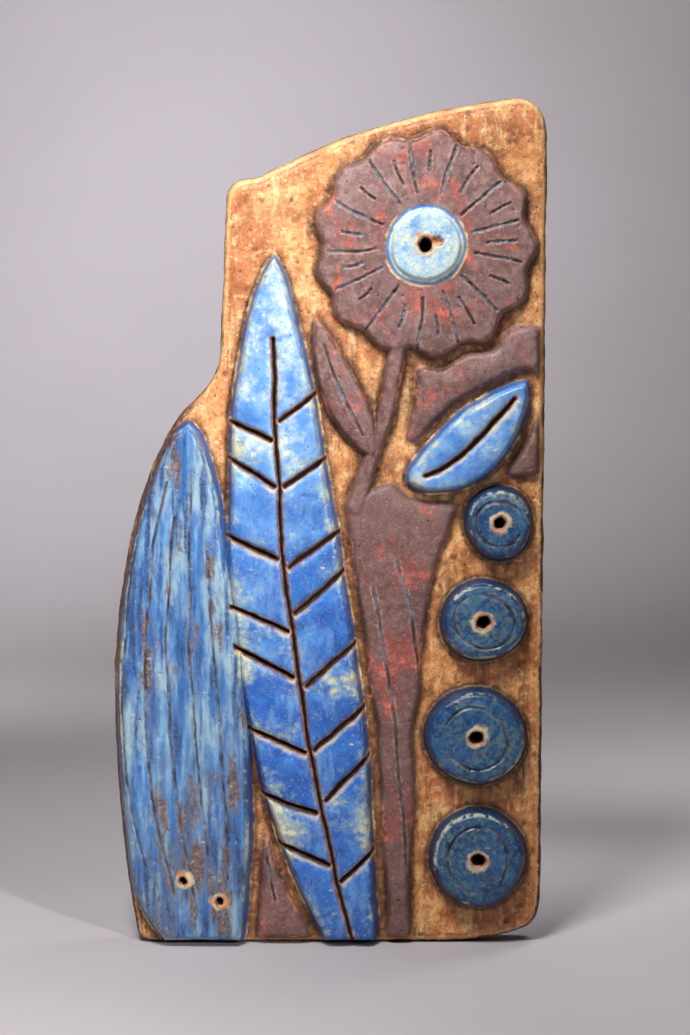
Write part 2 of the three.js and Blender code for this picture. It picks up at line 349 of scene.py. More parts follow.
# ---- incised lines: drawn with a point, so they have a burr and vary in depth
line = np.full(GX.shape, FAR)


def incise(path, depth=1.7, half=0.95, seed=80, mask=None):
    w, d, t, _ = near(path, 9.0)
    d = np.maximum(d + 0.3 * N5[w], 0)
    press = (0.45 + 0.55 * step(-0.45, 0.5, noise(t * 9, t * 0 + seed * 0.37, seed + 1))) * step(0, 0.06, t) * step(1, 0.94, t)
    if mask is not None:
        press = press * step(1.0, 4.0, mask[w])
    H[w] += 0.32 * press * np.exp(-((d - 2.1) / 0.7) ** 2) - depth * press * np.exp(-(d / half) ** 2)
    line[w] = np.minimum(line[w], np.where(press > 0.15, d, FAR))


for i in range(2 * PETALS):
    a = PI * (i + 1) / PETALS + 0.05 * math.sin(5.3 * i)
    r0, r1 = EYE_R + 6 + 2 * math.sin(2.2 * i), FLOWER_R - 5 - 2.5 * math.cos(3.7 * i)
    if i % 2:
        r0, r1 = EYE_R + 20 + 4 * math.sin(1.7 * i), FLOWER_R - 14 - 4 * math.cos(2.9 * i)
    u = np.array([math.cos(a), math.sin(a)])
    v = np.array([-u[1], u[0]])
    f = np.array(FLOWER, float)
    incise(bez(f + u * r0, f + u * (r0 + r1) / 2 + v * 2.4, f + u * r1 + v * 1.0, n=8), 1.9, 1.0, 100 + i)
for i, share in enumerate((-0.62, -0.3, 0.02, 0.33, 0.64)):
    incise(leaf_line(BULB, share, 0.16 + 0.05 * math.sin(2 * i), 0.9 - 0.07 * abs(share) - 0.05 * math.cos(3 * i)), 1.5, 1.0, 130 + i, d_bulb)
incise(spine(SPRIG, 20)[3:18], 1.6, 0.9, 140)
for i, ((bx, bz), r) in enumerate(BERRIES):
    t = np.linspace(0.25 + 1.7 * i, 2 * PI - 0.2 + 0.35 * math.sin(2 * i) + 1.7 * i, 50)
    q = (0.66 + 0.03 * math.sin(2.1 * i) + 0.03 * np.cos(2 * t + i)) * r
    incise(np.stack([bx + q * np.cos(t), bz + q * np.sin(t)], 1), 1.6, 1.0, 150 + i, d_berry)
for i, (p, q, b) in enumerate((((34, -40), (62, -280), 6), ((52, -20), (72, -130), 4), ((-66, -120), (-40, -296), -4))):
    incise(bez(p, ((p[0] + q[0]) / 2 + b, (p[1] + q[1]) / 2), q, n=14), 1.3, 0.9, 160 + i, d_field)

# ---- pierced holes with a burr, and the chip beside the uppermost one
hole = np.full(GX.shape, FAR)
HOLES = [(FLOWER, HOLE_R)] + [(b, HOLE_R * (0.86 if i == 0 else 1)) for i, (b, _) in enumerate(BERRIES)] + [(h, SMALL_HOLE_R) for h in SMALL_HOLES]
for i, ((hx, hz), r) in enumerate(HOLES):
    rr = np.hypot(GX - hx, GZ - hz)
    w = rr < 18
    ang = np.arctan2(GZ - hz, GX - hx)
    rr = rr + r / HOLE_R * (0.35 * np.cos(2 * ang + i) + 0.2 * np.cos(5 * ang + 2 * i) + 0.25 * noise(GX / 3, GZ / 3, 200 + i))
    taper = min(2.2, 0.45 * r)
    H = np.where(w, H + 0.5 * np.exp(-((rr - r - 2.0) / 1.1) ** 2), H)
    H = np.where(w, smin(H, HOLE_FLOOR + np.maximum(rr - (r - taper), 0) * 27.5 / taper, 2.4), H)
    hole = np.minimum(hole, np.where(w, rr - r, FAR))
cx, cz = FLOWER[0] + 9.0, FLOWER[1] + 2.5
ang = np.arctan2(GZ - cz, GX - cx)
d_chip = 4.9 + 0.5 * np.cos(3 * ang + 0.6) + 0.4 * np.cos(5 * ang) + 1.3 * fbm(GX / 4.5, GZ / 4.5, 220) - np.hypot(GX - cx, (GZ - cz) * 1.3)
H = np.where(d_chip > -2, smin(H, EYE_TOP - 1.2 - np.clip(d_chip, -2, 4) * 0.75 + 0.5 * noise(GX / 2.4, GZ / 2.4, 221), 0.8), H)

# ---- pits and small lumps
d_blue = np.maximum.reduce([d_blade, d_bulb, d_leaf, d_eye, d_berry])
d_mar = np.maximum.reduce([d_field, d_stem, d_flower, d_sprig])
rng = np.random.RandomState(7)
for i in range(900):
    px, pz = rng.uniform(-166, 166), rng.uniform(-322, 322)
    ci, ri = int(round((px - X0) / STEP)), int(round((pz - Z0) / STEP))
    rho, deep, keep = rng.uniform(0.55, 1.5), rng.uniform(0.35, 1.1), rng.rand()
    if edge[ri, ci] < 3 or (d_blue[ri, ci] > -1 and keep > 0.25):
        continue
    if keep > 0.9:
        deep, rho = -0.5 * deep, rho * 1.3
    w = (slice(ri - 7, ri + 8), slice(ci - 7, ci + 8))
    H[w] -= deep * np.exp(-((GX[w] - px) ** 2 + (GZ[w] - pz) ** 2 * rng.uniform(0.6, 1.5)) / rho ** 2)

cav = H - blur(H, 3.2)
fine = H - blur(H, 1.2)


# ------------------------------------------------------------------ the mesh
def sample(a, x, z):
    u, v = np.clip((x - X0) / STEP, 0, NX - 1.001), np.clip((z - Z0) / STEP, 0, NZ - 1.001)
    i, j = u.astype(int), v.astype(int)
    fu, fv = u - i, v - j
    return (a[j, i] * (1 - fu) * (1 - fv) + a[j, i + 1] * fu * (1 - fv) + a[j + 1, i] * (1 - fu) * fv + a[j + 1, i + 1] * fu * fv)


gz_, gx_ = np.gradient(edge, STEP)
mag = np.hypot(gx_, gz_) + 1e-9
EX, EZ = gx_ / mag, gz_ / mag  # points into the slab

core = edge > 0.3 * STEP
cells = core[:-1, :-1] | core[1:, :-1] | core[:-1, 1:] | core[1:, 1:]
used = np.zeros(core.shape, bool)
for dj in (0, 1):
    for di in (0, 1):
        used[dj:NZ - 1 + dj, di:NX - 1 + di] |= cells
vid = np.full(core.shape, -1)
vid[used] = np.arange(used.sum())
vx, vz = GX[used].copy(), GZ[used].copy()
snap = ~core[used]
for _ in range(4):  # the outermost points move onto the outline
    d = sample(edge, vx[snap], vz[snap])
    vx[snap] -= d * sample(EX, vx[snap], vz[snap])
    vz[snap] -= d * sample(EZ, vx[snap], vz[snap])
vh = H[used].copy()
vh[snap] = sample(H, vx[snap], vz[snap])
jj, ii = np.nonzero(cells)
a, b, c_, d_ = vid[jj, ii], vid[jj, ii + 1], vid[jj + 1, ii + 1], vid[jj + 1, ii]
flip = np.abs(vh[a] - vh[c_]) > np.abs(vh[b] - vh[d_])
tri = np.vstack([
    np.stack([a, b, np.where(flip, d_, c_)], 1),
    np.stack([np.where(flip, b, a), c_, d_], 1)])
# points that met on the outline become one
key = np.round(np.stack([vx, vz], 1) / 0.12).astype(np.int64)
key[~snap] = np.stack([np.arange((~snap).sum()) + 10 ** 7, np.zeros((~snap).sum(), np.int64)], 1)
_, first, inv = np.unique(key, axis=0, return_index=True, return_inverse=True)
inv = inv.reshape(-1)
vx, vz, vh = vx[first], vz[first], vh[first]
tri = inv[tri]
tri = tri[(tri[:, 0] != tri[:, 1]) & (tri[:, 1] != tri[:, 2]) & (tri[:, 2] != tri[:, 0])]

# the rim, in order
e = np.vstack([tri[:, [0, 1]], tri[:, [1, 2]], tri[:, [2, 0]]])
es = np.sort(e, 1)
code = es[:, 0] * (len(vx) + 1) + es[:, 1]
_, where, count = np.unique(code, return_index=True, return_counts=True)
loose = e[where[count == 1]]
nxt = dict(zip(loose[:, 0].tolist(), loose[:, 1].tolist()))
start = int(loose[0, 0])
loop = [start]
while nxt[loop[-1]] != start:
    loop.append(nxt[loop[-1]])
loop = np.array(loop)
m = len(loop)
print("front points", len(vx), "faces", len(tri), "rim", m, "loose", len(loose))

lx, lz, lh = vx[loop], vz[loop], vh[loop]
ox, oz = -sample(EX, lx, lz), -sample(EZ, lx, lz)
for _ in range(3):
    ox, oz = (np.roll(ox, 1) + 2 * ox + np.roll(ox, -1)) / 4, (np.roll(oz, 1) + 2 * oz + np.roll(oz, -1)) / 4
run = np.concatenate([[0], np.cumsum(np.hypot(np.diff(lx), np.diff(lz)))])
PX, PZ, PH = [vx], [vz], [vh]
rows = [loop]
faces = [tri]
n = len(vx)
for share, grow in ((0.88, 0.45), (0.72, 0.75), (0.55, 0.7), (0.38, 0.5), (0.22, 0.25), (0.1, -0.1), (0.035, -0.7), (0.0, -1.7)):
    depth = lh * share
    rough = 0.55 * noise(run / 16, depth / 7, 301) + 0.22 * noise(run / 4, depth / 2.5, 302)
    g = grow + rough * (1 if share > 0.08 else 0.4)
    foot = step(BOTTOM + 14, BOTTOM + 4, lz)  # the underside it stands on is flat
    g = g * (1 - foot) + np.minimum(grow, 0) * foot
    PX.append(lx + ox * g)
    PZ.append(np.maximum(lz + oz * g, BOTTOM - 0.2))
    PH.append(depth)
    row = n + np.arange(m)
    n += m
    p, q = rows[-1], row
    p1, q1 = np.roll(p, -1), np.roll(q, -1)
    faces.append(np.stack([p, q, p1], 1))
    faces.append(np.stack([p1, q, q1], 1))
    rows.append(row)
bx_, bz_ = PX[-1], PZ[-1]
fill = geometry.tessellate_polygon([[Vector((x, z, 0)) for x, z in zip(bx_, bz_)]])
fill = np.array(fill)
fx, fz = bx_[fill], bz_[fill]
area = (fx[:, 1] - fx[:, 0]) * (fz[:, 2] - fz[:, 0]) - (fx[:, 2] - fx[:, 0]) * (fz[:, 1] - fz[:, 0])
fill = np.where((area > 0)[:, None], fill[:, ::-1], fill)
faces.append(rows[-1][fill])

co = np.stack([np.concatenate(PX), -np.concatenate(PH), np.concatenate(PZ)], 1) / 1000.0
tris = np.vstack(faces).astype(np.int32)
dense = bpy.data.meshes.new("dense")
dense.vertices.add(len(co))
dense.vertices.foreach_set("co", co.astype(np.float32).ravel())
dense.loops.add(len(tris) * 3)
dense.loops.foreach_set("vertex_index", tris.ravel())
dense.polygons.add(len(tris))
dense.polygons.foreach_set("loop_start", np.arange(0, len(tris) * 3, 3, dtype=np.int32))
dense.update(calc_edges=True)
dense.validate()
work = bpy.data.objects.new("work", dense)
bpy.context.scene.collection.objects.link(work)
keep = np.minimum(np.abs(sample(hole, co[:, 0] * 1000, co[:, 2] * 1000) + 0.5) / 3.5, 1.0)
group = work.vertex_groups.new(name="thin")
for level in range(5):
    group.add(np.nonzero(np.floor(keep * 4).astype(int) == level)[0].tolist(), 0.1 + 0.9 * level / 4, "REPLACE")
mod = work.modifiers.new("thin", "DECIMATE")
mod.vertex_group = "thin"
mod.vertex_group_factor = 6.0
mod.ratio = FACES / len(tris)
mod.use_collapse_triangulate = True
dg = bpy.context.evaluated_depsgraph_get()
mesh = bpy.data.meshes.new_from_object(work.evaluated_get(dg), depsgraph=dg)
bpy.data.objects.remove(work)
bpy.data.meshes.remove(dense)
mesh.name = "plaque_surface"
plaque = bpy.data.objects.new("plaque_surface", mesh)
bpy.context.scene.collection.objects.link(plaque)

nv = len(mesh.vertices)
co = np.zeros(nv * 3, np.float32)
mesh.vertices.foreach_get("co", co)
co = co.reshape(-1, 3) * 1000.0
mx, mh, mz = co[:, 0], -co[:, 1], co[:, 2]
nf = len(mesh.polygons)
fl = np.zeros(nf * 3, np.int32)
mesh.polygons.foreach_get("vertices", fl)
fl = fl.reshape(-1, 3)
back = (mh[fl] < 0.02).all(1)
smooth = ~back
mesh.polygons.foreach_set("use_smooth", smooth)
print("finished points", nv, "faces", nf)

e_at = sample(edge, mx, mz)
side = np.where(e_at < 4.0, step(20.5, 17.0, mh), 0.0)
side = np.where(mh < 1.0, 1.0, side)
tone = np.argmax(np.stack([np.maximum.reduce([d_blade, d_leaf, d_eye]), d_bulb, d_berry]), 0).astype(float)
ATTRS = dict(
    blue=sample(d_blue, mx, mz), mar=sample(d_mar, mx, mz), tone=tone[np.clip(np.round((mz - Z0) / STEP).astype(int), 0, NZ - 1), np.clip(np.round((mx - X0) / STEP).astype(int), 0, NX - 1)],
    cut=sample(cut, mx, mz), cside=sample(blur(cut_side, 0.8), mx, mz), line=sample(line, mx, mz), hole=sample(hole, mx, mz), chip=sample(d_chip, mx, mz),
    cav=sample(cav, mx, mz), fine=sample(fine, mx, mz), edge=e_at, side=side)
for name, val in ATTRS.items():
    at = mesh.attributes.new("pq_" + name, "FLOAT", "POINT")
    at.data.foreach_set("value", np.clip(val, -FAR, FAR).astype(np.float32))


# ------------------------------------------------------------------ a flat map of the surface: front, back, and the sides in three strips
fxyz = co[fl]
fn = np.cross(fxyz[:, 1] - fxyz[:, 0], fxyz[:, 2] - fxyz[:, 0])
fn /= np.linalg.norm(fn, axis=1, keepdims=True) + 1e-12
is_side = ~back & (np.abs(fn[:, 1]) < 0.45) & (e_at[fl].max(1) < 3.0)
along = np.zeros(nv)
touch = np.unique(fl[is_side])
for k in range(0, len(touch), 4000):
    t_ = touch[k:k + 4000]
    along[t_] = run[np.argmin((mx[t_, None] - lx[None, :]) ** 2 + (mz[t_, None] - lz[None, :]) ** 2, 1)]
girth = float(run[-1] + np.hypot(lx[0] - lx[-1], lz[0] - lz[-1]))
FRONT_S, BACK_S, DEEP_S = 0.00151, 0.00085, 0.00132  # of the map's width for each millimetre
uv = np.stack([0.008 + (TOP + 1.0 - mz[fl]) * FRONT_S, 0.008 + (mx[fl] - LEFT + 1.5) * FRONT_S], 2)
uv[back] = np.stack([0.008 + (TOP + 1.0 - mz[fl[back]]) * BACK_S, 0.53 + (RIGHT + 1.5 - mx[fl[back]]) * BACK_S], 2)
u = along[fl[is_side]]
u = np.where(u - u[:, :1] > girth / 2, u - girth, np.where(u - u[:, :1] < -girth / 2, u + girth, u))
strip = np.clip(np.floor(u.mean(1) / (girth / 3)), 0, 2)[:, None]
uv[is_side] = np.stack([0.02 + (u - strip * girth / 3 + 8.0) * FRONT_S, 0.822 + strip * 0.0595 + mh[fl[is_side]] * DEEP_S], 2)
lv = np.zeros(nf * 3, np.int32)
mesh.loops.foreach_get("vertex_index", lv)
assert (lv.reshape(-1, 3) == fl).all()
flat_map = mesh.uv_layers.new(name="OFBake")
flat_map.data.foreach_set("uv", uv.astype(np.float32).ravel())

# ------------------------------------------------------------------ the glazes
def lin(r, g, b):
    f = lambda v: v / 12.92 if v <= 0.04045 else ((v + 0.055) / 1.055) ** 2.4
    return f(r / 255), f(g / 255), f(b / 255), 1.0


class Nodes:
    def __init__(self, mat):
        mat.use_nodes = True
        self.t = mat.node_tree
        self.t.nodes.clear()

    def new(self, kind, **props):
        n = self.t.nodes.new(kind)
        for k, v in props.items():
            setattr(n, k, v)
        return n

    def put(self, sock, v):
        if isinstance(v, bpy.types.NodeSocket):
            self.t.links.new(v, sock)
        elif v is not None:
            sock.default_value = v

    def math(self, op, a, b=None, clamp=False):
        n = self.new("ShaderNodeMath", operation=op, use_clamp=clamp)
        self.put(n.inputs[0], a)
        self.put(n.inputs[1], b)
        return n.outputs[0]

    def add(self, a, b): return self.math("ADD", a, b)
    def mul(self, a, b, clamp=False): return self.math("MULTIPLY", a, b, clamp)

    def rng(self, x, a, b, lo=0.0, hi=1.0):
        n = self.new("ShaderNodeMapRange", interpolation_type="SMOOTHSTEP", clamp=True)
        for s, v in zip(n.inputs[:5], (x, a, b, lo, hi)):
            self.put(s, v)
        return n.outputs[0]

    def mix(self, fac, a, b, how="MIX"):
        n = self.new("ShaderNodeMix", data_type="RGBA", blend_type=how, clamp_factor=True)
        self.put(n.inputs[0], fac)
        self.put(n.inputs[6], a)
        self.put(n.inputs[7], b)
        return n.outputs[2]

    def ramp(self, fac, stops, how="LINEAR"):
        n = self.new("ShaderNodeValToRGB")
        n.color_ramp.interpolation = how
        el = n.color_ramp.elements
        while len(el) < len(stops):
            el.new(0.5)
        for s, (p, c) in zip(el, stops):
            s.position, s.color = p, c
        self.put(n.inputs[0], fac)
        return n.outputs[0]

    def noise(self, vec, scale, detail=3.0, rough=0.55, warp=0.0):
        n = self.new("ShaderNodeTexNoise")
        self.put(n.inputs["Vector"], vec)
        n.inputs["Scale"].default_value = scale
        n.inputs["Detail"].default_value = detail
        n.inputs["Roughness"].default_value = rough
        n.inputs["Distortion"].default_value = warp
        return n.outputs[0]

    def cells(self, vec, scale, feature="F1", rand=1.0, flat=False):
        n = self.new("ShaderNodeTexVoronoi", feature=feature, voronoi_dimensions="2D" if flat else "3D")
        self.put(n.inputs["Vector"], vec)
        n.inputs["Scale"].default_value = scale
        n.inputs["Randomness"].default_value = rand
        return n

    def attr(self, name):
        n = self.new("ShaderNodeAttribute", attribute_type="GEOMETRY", attribute_name="pq_" + name)
        return n.outputs["Fac"]

    def warped(self, vec, scale, by):
        """A place moved about by noise, `by` metres."""
        n = self.new("ShaderNodeTexNoise")
        self.put(n.inputs["Vector"], vec)
        n.inputs["Scale"].default_value = scale
        n.inputs["Detail"].default_value = 2.0
        a = self.new("ShaderNodeVectorMath", operation="MULTIPLY_ADD")
        self.put(a.inputs[0], n.outputs["Color"])
        a.inputs[1].default_value = (by, by, by)
        self.put(a.inputs[2], vec)
        return a.outputs[0]

    def scaled(self, vec, s, rot=(0, 0, 0)):
        n = self.new("ShaderNodeMapping")
        self.put(n.inputs["Vector"], vec)
        n.inputs["Scale"].default_value = s
        n.inputs["Rotation"].default_value = rot
        return n.outputs[0]


mat = bpy.data.materials.new("glazed_stoneware")
N = Nodes(mat)
P = N.new("ShaderNodeTexCoord").outputs["Object"]
sep = N.new("ShaderNodeSeparateXYZ")
N.put(sep.inputs[0], P)
height = sep.outputs[2]
a_blue, a_mar, a_tone, a_cut, a_cside, a_line, a_hole, a_chip, a_cav, a_fine, a_edge, a_side = (
    N.attr(k) for k in ("blue", "mar", "tone", "cut", "cside", "line", "hole", "chip", "cav", "fine", "edge", "side"))

PW = N.warped(P, 70, 0.006)
PF = N.warped(P, 260, 0.0022)
P2 = N.scaled(P, (1, 1, 1), (-PI / 2, 0, 0))  # across the front
PF2 = N.scaled(PF, (1, 1, 1), (-PI / 2, 0, 0))
n_big = N.noise(P, 14, 3, 0.55)
n_big2 = N.noise(N.scaled(P, (1, 1, 1), (0.7, 1.3, 0.2)), 22, 4, 0.6)
n_mid = N.noise(PW, 52, 5, 0.62)
n_mid2 = N.noise(N.scaled(PW, (1, 1, 1), (0.4, 0.9, 1.7)), 62, 5, 0.62)
n_small = N.noise(P, 185, 4, 0.62)
n_small2 = N.noise(N.scaled(P, (1, 1, 1), (1.1, 0.3, 0.7)), 230, 4, 0.64)
n_grain = N.noise(P, 820, 2, 0.6)
n_grain2 = N.noise(N.scaled(P, (1, 1, 1), (0.5, 1.9, 0.4)), 520, 3, 0.6)
n_streak = N.noise(N.scaled(PF, (1, 1, 0.11)), 160, 4, 0.57)
n_streak2 = N.noise(N.scaled(PW, (1, 1, 0.2), (0, 0.12, 0)), 70, 4, 0.68)
n_streak2b = N.noise(N.scaled(PW, (1, 1, 0.28), (0, -0.1, 0)), 64, 3, 0.64)
n_sweep = N.noise(N.scaled(PW, (0.3, 1, 1), (0, 0.2, 0)), 60, 4, 0.66)
n_brush = N.noise(N.scaled(PF, (1, 1, 0.3), (0, 0.75, 0)), 110, 4, 0.64)
wob = N.math("SUBTRACT", n_small, 0.5)
wob2 = N.math("SUBTRACT", n_mid, 0.5)

# ---- dots shared by the glazes: iron spots, pinholes, pale flecks
spots = N.cells(PF2, 92, flat=True)
s_on = N.mul(N.rng(N.add(spots.outputs["Distance"], N.mul(wob, 0.35)), 0.3, 0.1), N.rng(spots.outputs["Color"], 0.76, 0.84))
dots = N.cells(PF, 300)
d_on = N.mul(N.rng(N.add(dots.outputs["Distance"], N.mul(N.math("SUBTRACT", n_grain2, 0.5), 0.3)), 0.3, 0.14), N.rng(dots.outputs["Color"], 0.64, 0.7))
pins = N.cells(P2, 210, flat=True)
p_size = N.rng(pins.outputs["Color"], 0.84, 1.0, 0.0, 0.16)
p_on = N.mul(N.rng(N.math("SUBTRACT", pins.outputs["Distance"], p_size), 0.06, 0.0), N.rng(pins.outputs["Color"], 0.86, 0.88))

# ---- ochre ground: orange-tan, streaked and mottled brown, pale yellow where it lies thin
ochre = N.ramp(n_mid, [(0.24, lin(140, 84, 46)), (0.38, lin(190, 122, 70)), (0.52, lin(222, 156, 98)), (0.68, lin(240, 190, 130)), (0.84, lin(250, 218, 162))])
ochre = N.mix(N.rng(n_big2, 0.44, 0.62, 0, 0.6), ochre, lin(186, 104, 66))
ochre = N.mix(N.mul(N.rng(n_streak2, 0.49, 0.63), N.rng(height, 0.3, -0.1, 0.45, 0.85)), ochre, lin(140, 84, 46))
ochre = N.mix(N.mul(N.rng(n_streak, 0.53, 0.66), N.rng(n_big2, 0.4, 0.58, 0.05, 0.6)), ochre, lin(250, 222, 160))
ochre = N.mix(N.rng(n_small2, 0.51, 0.66, 0, 0.65), ochre, lin(168, 98, 66))
ochre = N.mix(N.rng(n_small, 0.54, 0.66, 0, 0.5), ochre, lin(252, 218, 158))
ochre = N.mix(N.rng(n_grain2, 0.54, 0.68, 0, 0.55), ochre, lin(120, 70, 44))
# painted shade: the ground is made darker towards the bottom, as if less light reached it there
ochre = N.mix(N.rng(height, 0.14, -0.12), ochre, lin(250, 244, 236), "MULTIPLY")
ochre = N.mix(N.mul(s_on, 0.8), ochre, lin(112, 66, 52))
ochre = N.mix(N.mul(d_on, 0.8), ochre, lin(84, 48, 30))
ochre = N.mix(N.mul(p_on, 0.95), ochre, lin(26, 16, 12))

# ---- maroon: dusky mauve, grainy, with brick-red breaks; painted darker lower down and along its walls, as shade
mar = N.ramp(n_small, [(0.22, lin(94, 67, 65)), (0.42, lin(132, 98, 94)), (0.58, lin(151, 117, 112)), (0.8, lin(180, 146, 140))])
mar = N.mix(N.rng(n_mid2, 0.42, 0.6, 0, 0.5), mar, lin(106, 72, 70))
mar = N.mix(N.rng(n_big, 0.48, 0.64, 0, 0.5), mar, lin(150, 122, 120))
mar = N.mix(N.rng(n_streak2, 0.5, 0.66, 0, 0.45), mar, lin(86, 60, 60))
# painted shade: the maroon is made darker lower down, as if less light reached it there
mar = N.mix(N.rng(height, 0.17, 0.06, 0, 0.48), mar, lin(96, 59, 53))
red = N.mul(N.rng(N.add(N.mul(n_big2, 0.45), N.add(N.mul(n_mid, 0.3), N.mul(n_streak2b, 0.35))), 0.56, 0.66), N.rng(n_small2, 0.34, 0.6, 0.35, 0.95))
mar = N.mix(N.mul(red, 0.8), mar, lin(160, 68, 58))
mar = N.mix(N.mul(N.mul(red, N.rng(n_mid, 0.5, 0.64)), N.rng(n_small, 0.44, 0.6, 0.2, 0.9)), mar, lin(224, 116, 88))
mar = N.mix(N.rng(n_grain, 0.54, 0.72, 0, 0.5), mar, lin(66, 46, 46))
mar = N.mix(N.rng(n_grain2, 0.55, 0.7, 0, 0.45), mar, lin(182, 152, 146))
mar = N.mix(N.mul(p_on, 0.9), mar, lin(34, 22, 22))
# painted shade: the maroon is made darker along its walls, where they fall into the channels
mar = N.mix(N.mul(N.rng(N.add(a_mar, N.mul(wob2, 8.0)), 6.0, 0.5), N.rng(n_big, 0.56, 0.4, 0.1, 0.7)), mar, lin(66, 42, 38))
mar = N.mix(N.mul(N.rng(a_mar, 3.4, 1.6), N.mul(N.rng(n_big2, 0.52, 0.62), N.rng(n_small, 0.42, 0.6, 0, 0.8))), mar, lin(202, 142, 118))

# ---- bright blue: brushed, paler and crackled towards the top, rubbed and flecked lower down
bright = N.ramp(n_mid2, [(0.24, lin(22, 60, 136)), (0.42, lin(36, 90, 172)), (0.58, lin(52, 112, 192)), (0.76, lin(82, 144, 210))])
bright = N.mix(N.rng(n_big, 0.44, 0.6, 0, 0.5), bright, lin(38, 78, 156))
# painted light: the bright blue is made paler towards the top, partly the glaze itself and partly as if lit from above
up = N.rng(N.add(height, N.mul(N.math("SUBTRACT", n_big2, 0.5), 0.6)), -0.15, 0.12)
bright = N.mix(N.mul(up, 0.85), bright, N.ramp(n_mid2, [(0.28, lin(76, 134, 214)), (0.5, lin(104, 158, 224)), (0.72, lin(138, 186, 230))]))
bright = N.mix(N.rng(n_brush, 0.5, 0.66, 0, 0.34), bright, lin(128, 172, 212))
bright = N.mix(N.mul(N.rng(n_sweep, 0.52, 0.66, 0, 0.45), N.rng(height, 0.16, -0.05, 0.35, 1.0)), bright, lin(36, 76, 154))
bright = N.mix(N.rng(n_grain2, 0.54, 0.7, 0, 0.3), bright, lin(150, 186, 214))
rim_near = N.rng(a_blue, 15.0, 3.0)
worn_gate = N.add(N.mul(n_big2, 0.55), N.add(N.mul(n_sweep, 0.3), N.add(N.mul(n_small2, 0.25), N.mul(rim_near, 0.07))))
worn_b = N.rng(worn_gate, 0.575, 0.66)
bright = N.mix(N.mul(worn_b, 0.55), bright, lin(150, 174, 174))
bright = N.mix(N.mul(N.rng(worn_gate, 0.63, 0.7), N.rng(n_small, 0.4, 0.6, 0.2, 0.9)), bright, lin(212, 206, 162))
palegate = N.add(N.mul(n_mid, 0.6), N.add(N.mul(n_big2, 0.5), N.mul(height, 0.85)))
pale = N.rng(palegate, 0.6, 0.76)
bright = N.mix(N.mul(pale, N.rng(n_small2, 0.3, 0.56, 0.3, 0.9)), bright, lin(194, 219, 224))
bright = N.mix(N.mul(pale, N.rng(n_small, 0.5, 0.64, 0, 0.6)), bright, lin(236, 234, 196))
crack = N.cells(N.warped(P2, 120, 0.004), 140, "DISTANCE_TO_EDGE", flat=True)
crack_on = N.rng(crack.outputs["Distance"], 0.05, 0.008)
crack2 = N.cells(N.scaled(PF2, (1, 1, 1), (0, 0, 0.6)), 270, "DISTANCE_TO_EDGE", flat=True)
crack2_on = N.rng(crack2.outputs["Distance"], 0.06, 0.01)
crackle = N.math("MAXIMUM", crack_on, N.mul(crack2_on, 0.6))
bright = N.mix(N.mul(N.mul(crackle, N.rng(palegate, 0.54, 0.72, 0.05, 0.6)), N.rng(n_small2, 0.34, 0.56)), bright, lin(120, 132, 130))

# ---- streaky pale blue with bare brown drags
streaky = N.ramp(n_streak, [(0.26, lin(26, 56, 104)), (0.42, lin(48, 92, 150)), (0.55, lin(74, 122, 176)), (0.68, lin(118, 160, 194))])
streaky = N.mix(N.rng(n_mid2, 0.44, 0.62, 0, 0.35), streaky, lin(50, 90, 154))
streaky = N.mix(N.mul(N.rng(N.add(N.mul(n_big2, 0.3), N.mul(n_streak2b, 0.8)), 0.48, 0.68), N.rng(n_streak, 0.36, 0.58, 0.1, 0.85)), streaky, lin(146, 172, 182))
streaky = N.mix(N.mul(N.rng(height, -0.08, -0.26), N.rng(n_streak2, 0.42, 0.58, 0.05, 0.4)), streaky, lin(108, 116, 116))
drag = N.mul(N.rng(N.add(N.mul(n_streak2, 0.7), N.mul(n_big, 0.4)), 0.55, 0.65), N.rng(n_streak, 0.41, 0.53))
streaky = N.mix(N.mul(drag, N.rng(n_grain2, 0.36, 0.54, 0.45, 0.95)), streaky, N.ramp(n_small2, [(0.35, lin(66, 46, 36)), (0.58, lin(114, 80, 54)), (0.75, lin(172, 130, 88))]))
streaky = N.mix(N.mul(N.rng(n_streak, 0.45, 0.35), N.rng(n_grain2, 0.44, 0.58, 0, 0.75)), streaky, lin(52, 52, 58))

# ---- dark teal, mottled grey-green in the middle and deep blue where it ran to the edges
teal = N.ramp(n_mid2, [(0.24, lin(14, 42, 82)), (0.42, lin(22, 62, 110)), (0.58, lin(32, 82, 132)), (0.78, lin(64, 116, 150))])
teal = N.mix(N.mul(N.rng(n_small2, 0.42, 0.62), N.rng(n_big2, 0.36, 0.56, 0.2, 0.75)), teal, lin(92, 122, 124))
teal = N.mix(N.rng(n_streak2, 0.54, 0.68, 0, 0.5), teal, lin(18, 52, 118))
teal = N.mix(N.rng(n_grain2, 0.53, 0.68, 0, 0.55), teal, lin(108, 134, 130))
teal = N.mix(N.mul(N.rng(n_mid, 0.56, 0.68), N.rng(n_small, 0.44, 0.6, 0, 0.7)), teal, lin(112, 92, 72))
teal = N.mix(N.rng(N.add(a_blue, N.mul(wob2, 6.0)), 7.5, 2.5, 0, 0.6), teal, lin(14, 38, 84))

blue = N.mix(N.rng(a_tone, 0.4, 0.6), bright, streaky)
blue = N.mix(N.rng(a_tone, 1.4, 1.6), blue, teal)
